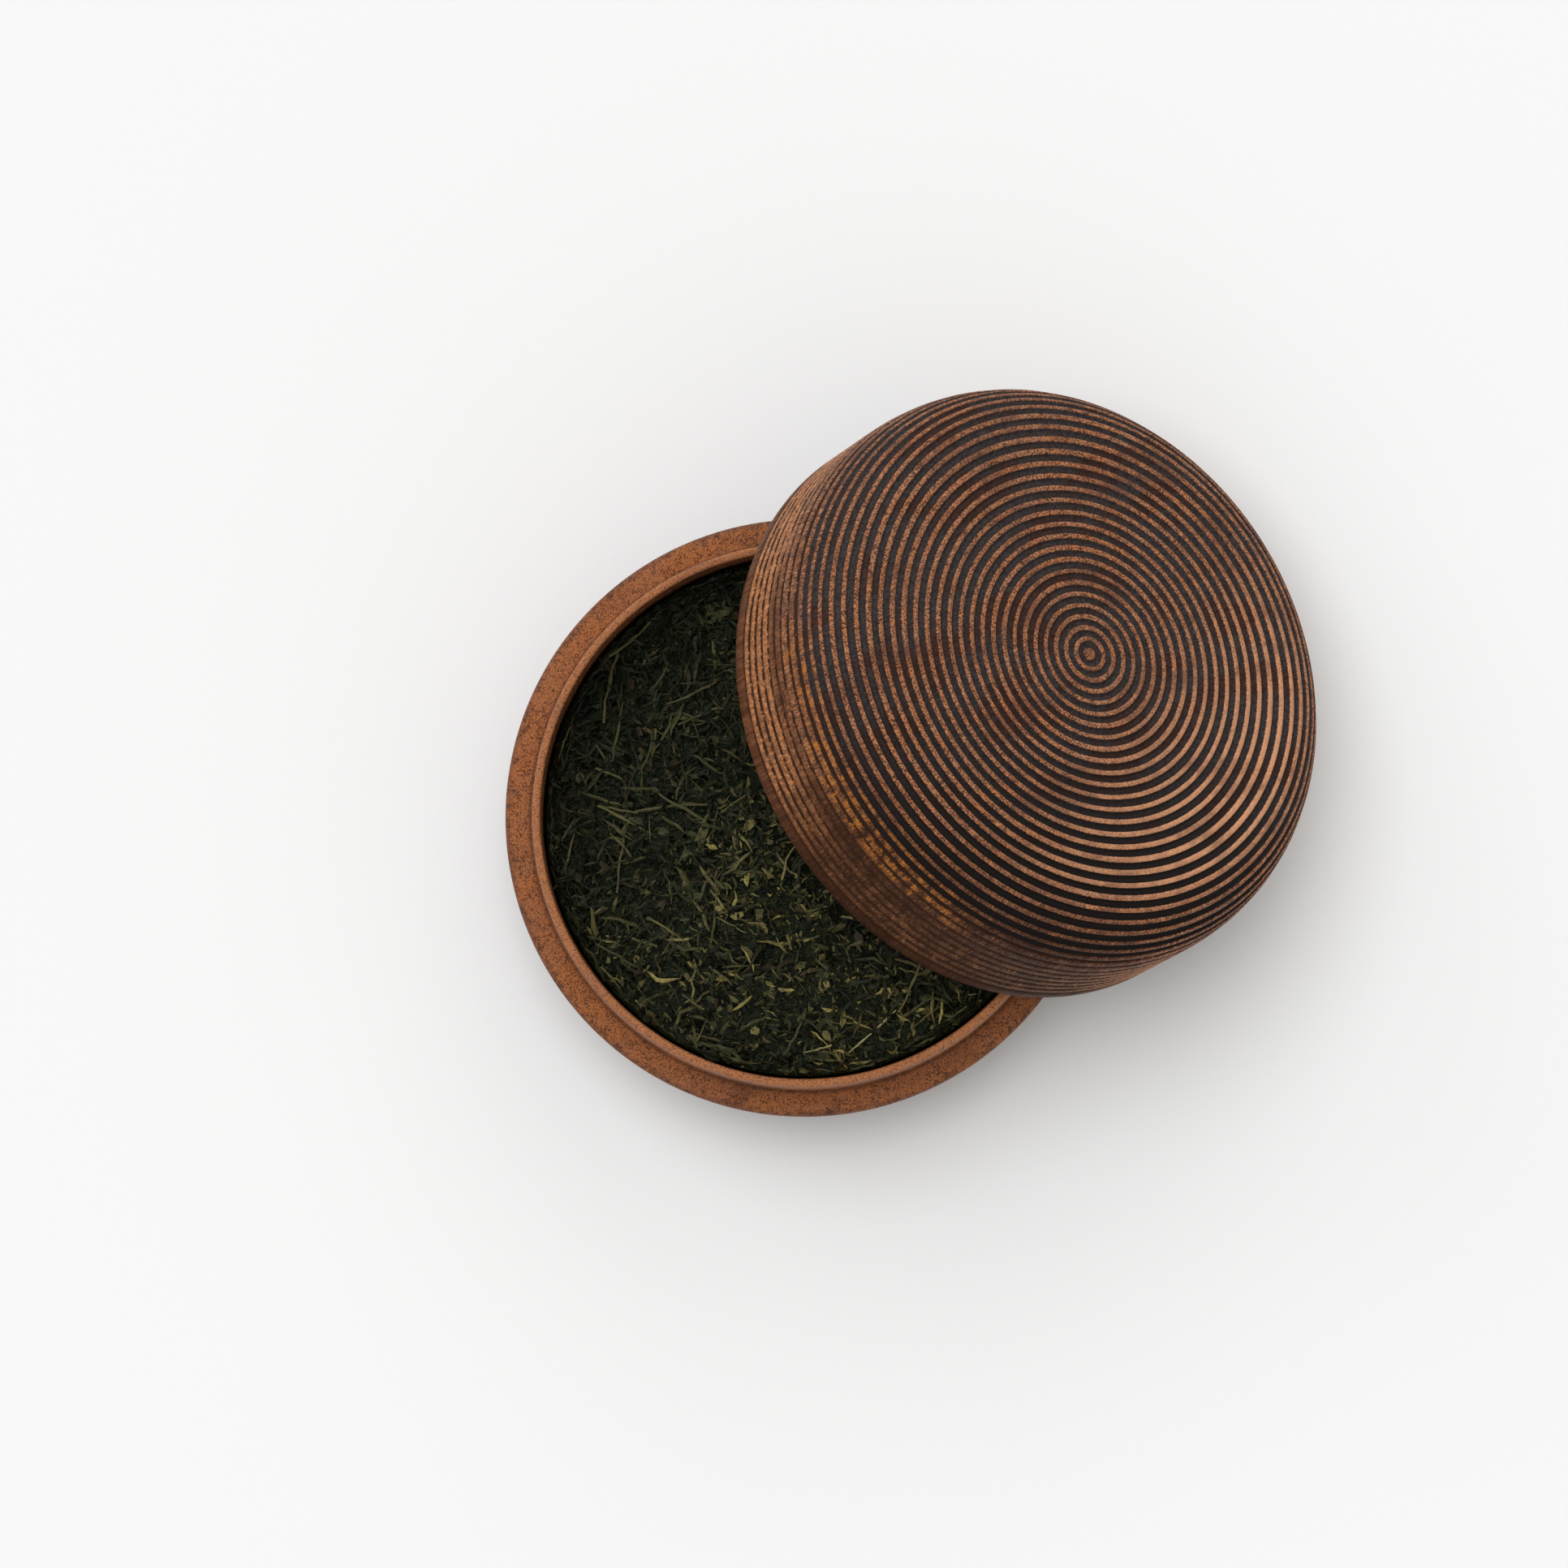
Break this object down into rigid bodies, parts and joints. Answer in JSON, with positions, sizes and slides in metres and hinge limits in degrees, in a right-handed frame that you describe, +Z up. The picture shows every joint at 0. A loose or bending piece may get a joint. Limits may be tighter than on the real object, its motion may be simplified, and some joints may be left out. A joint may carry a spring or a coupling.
{
  "type": "tea caddy",
  "caption": "Round turned-wood tea caddy, open and full of loose leaf tea, with its ringed domed lid leaning on the body's raised lip.",
  "frame": {"origin": "middle of the body's flat foot, on the surface it stands on", "axes": "+Z up along the body's turning axis, +X towards the side on which the lid leans, +Y to complete a right-handed frame"},
  "size_m": [0.1257, 0.09, 0.0682],
  "materials": {
    "body_wood": "wiped-lacquer hardwood, orange brown, satin",
    "lid_wood": "wiped-lacquer hardwood with dark stained grooves, satin",
    "tea": "dry rolled green tea leaves, dull with a faint sheen"
  },
  "bodies": {
    "caddy": {"caddy_body": "body_wood", "tea_leaves": "tea"},
    "lid": {"lid": "lid_wood"}
  },
  "joints": [
    {"name": "lid_lift", "type": "slide", "parent": "caddy", "child": "lid", "axis": [0, 0, 1], "range_m": [0, 0.08]}
  ]
}
